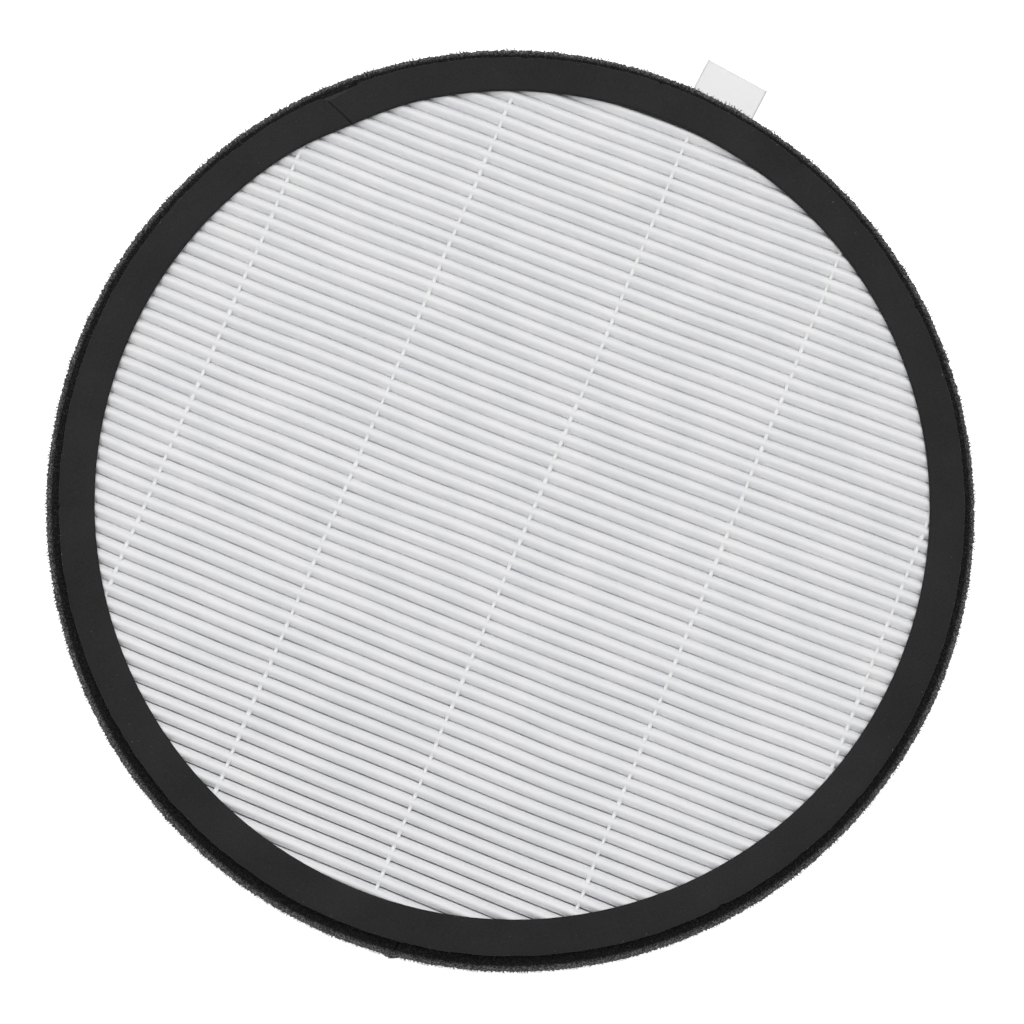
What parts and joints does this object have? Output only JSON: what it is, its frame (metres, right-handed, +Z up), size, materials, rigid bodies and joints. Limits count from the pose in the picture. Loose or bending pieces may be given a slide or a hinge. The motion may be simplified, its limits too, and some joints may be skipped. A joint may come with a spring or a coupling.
{
  "type": "air purifier filter",
  "caption": "Round pleated white fibre filter with hot-melt spacer lines, soft black face rings, a foam gasket round its side and a white pull tape.",
  "frame": {"origin": "centre of the lower ring's underside, on the filter's axis, in the plane that the filter lies on", "axes": "+Z up through the filter along the air flow, +X along the pleats, +Y across the pleats towards the pull tape"},
  "size_m": [0.276, 0.2918, 0.028],
  "materials": {
    "filter_media": "white melt-blown fibre, matt",
    "hot_melt": "white hot melt, satin",
    "side_band": "black board, matt",
    "soft_ring": "black closed-cell sheet, matt and smooth",
    "foam": "black open-cell foam, porous",
    "tape": "white non-woven tape, matt"
  },
  "bodies": {
    "root": {"bottom_glue_bead_1": "hot_melt", "bottom_glue_bead_2": "hot_melt", "bottom_glue_bead_3": "hot_melt", "bottom_glue_bead_4": "hot_melt", "bottom_glue_bead_5": "hot_melt", "bottom_ring": "soft_ring", "edge_sealant": "hot_melt", "foam_gasket": "foam", "pleated_media": "filter_media", "pull_tab": "tape", "side_band": "side_band", "top_glue_bead_1": "hot_melt", "top_glue_bead_2": "hot_melt", "top_glue_bead_3": "hot_melt", "top_glue_bead_4": "hot_melt", "top_glue_bead_5": "hot_melt", "top_ring": "soft_ring"}
  },
  "joints": []
}
